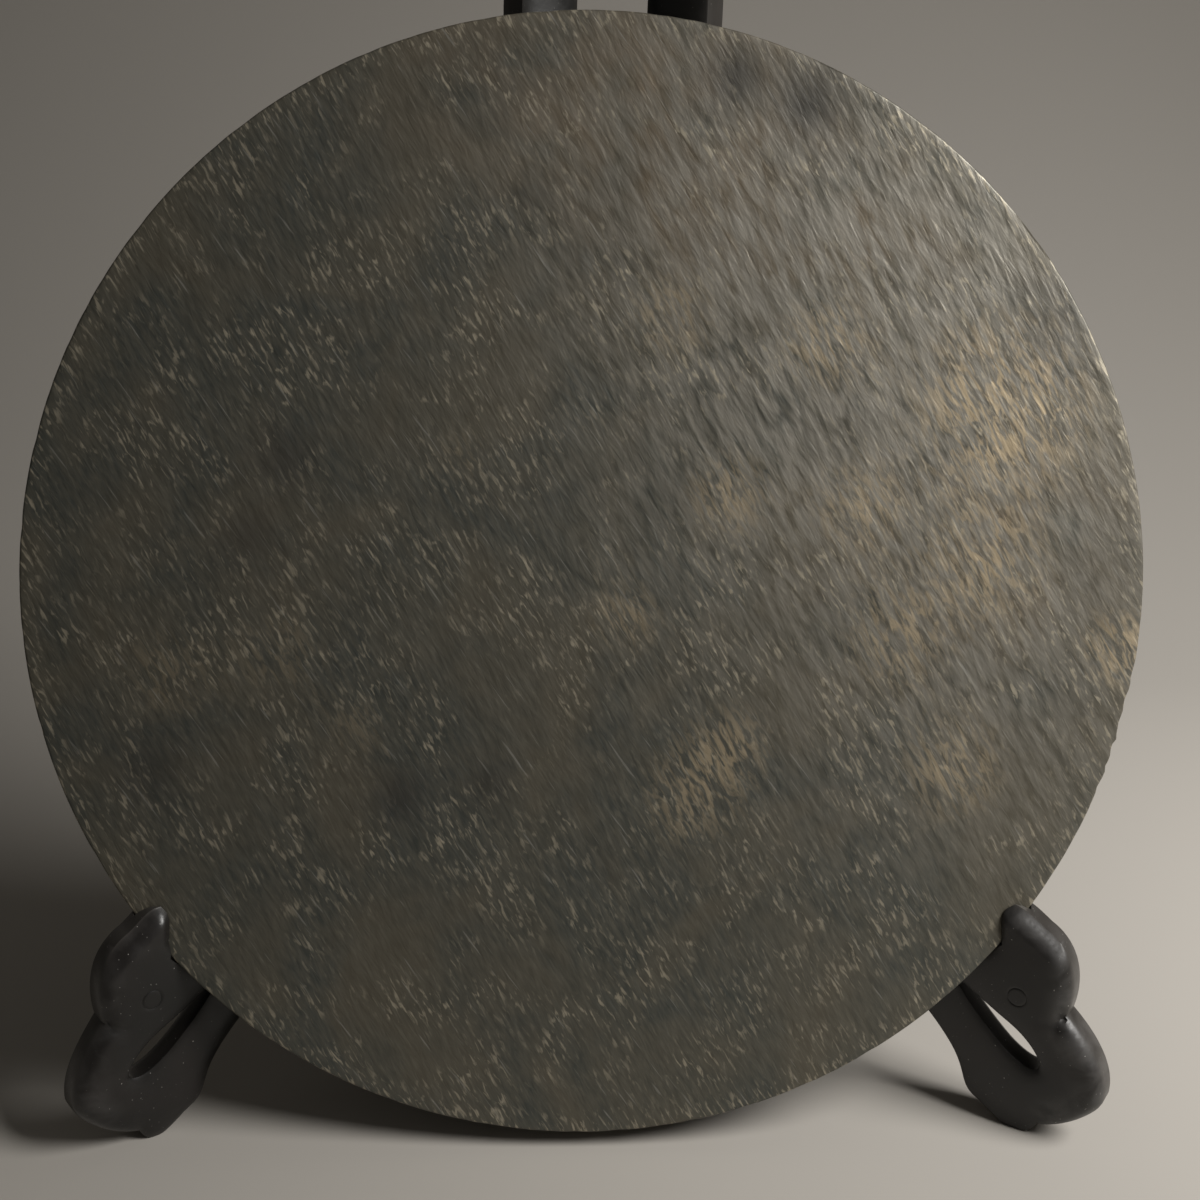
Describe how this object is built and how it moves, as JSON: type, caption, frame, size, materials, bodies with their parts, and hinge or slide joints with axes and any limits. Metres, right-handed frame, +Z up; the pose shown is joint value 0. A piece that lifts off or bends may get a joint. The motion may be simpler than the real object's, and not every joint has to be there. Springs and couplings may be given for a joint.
{
  "type": "bronze mirror",
  "caption": "Large round cast bronze mirror, face out, leaning in a dark carved wooden stand of crossed leaves with curled, slotted hooks.",
  "frame": {"origin": "middle of the footprint, on the surface that the stand's feet rest on", "axes": "+Z up, -Y towards the viewer of the mirror's face, +X to that viewer's right"},
  "size_m": [0.3, 0.116, 0.3184],
  "materials": {
    "patinated_bronze": "old polished bronze under a dark grey-green and brown patina, finely scratched",
    "black_wood": "close-grained wood stained near black, satin, slightly dusty on the outer curves"
  },
  "bodies": {
    "root": {"mirror": "patinated_bronze", "stand_leaf_left": "black_wood", "stand_leaf_right": "black_wood"}
  },
  "joints": []
}
